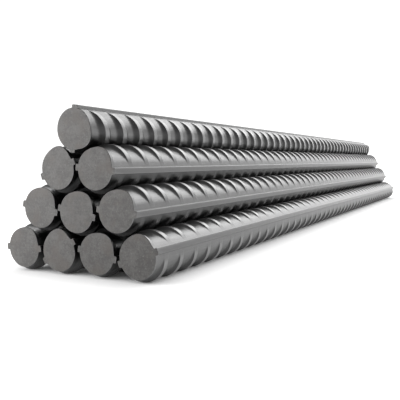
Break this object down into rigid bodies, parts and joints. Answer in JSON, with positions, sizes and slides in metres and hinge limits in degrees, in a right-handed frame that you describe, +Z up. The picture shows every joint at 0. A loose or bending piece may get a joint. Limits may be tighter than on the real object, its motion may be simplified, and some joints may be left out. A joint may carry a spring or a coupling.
{
  "type": "rebar stack",
  "caption": "Pyramid stack of straight deformed steel reinforcing bars cut to one length, with flush sawn ends.",
  "frame": {"origin": "on the floor under the middle of the stack", "axes": "+X along the bars from the front sawn ends to the back ones, +Z up through the layers of the stack"},
  "size_m": [1.015, 0.1415, 0.127],
  "materials": {
    "bar_steel": "grey hot-rolled steel, satin, with dull sawn ends"
  },
  "bodies": {
    "root": {"bar_row1_1": "bar_steel", "bar_row1_2": "bar_steel", "bar_row1_3": "bar_steel", "bar_row1_4": "bar_steel", "bar_row2_1": "bar_steel", "bar_row2_2": "bar_steel", "bar_row2_3": "bar_steel", "bar_row3_1": "bar_steel", "bar_row3_2": "bar_steel", "bar_row4_1": "bar_steel"}
  },
  "joints": []
}
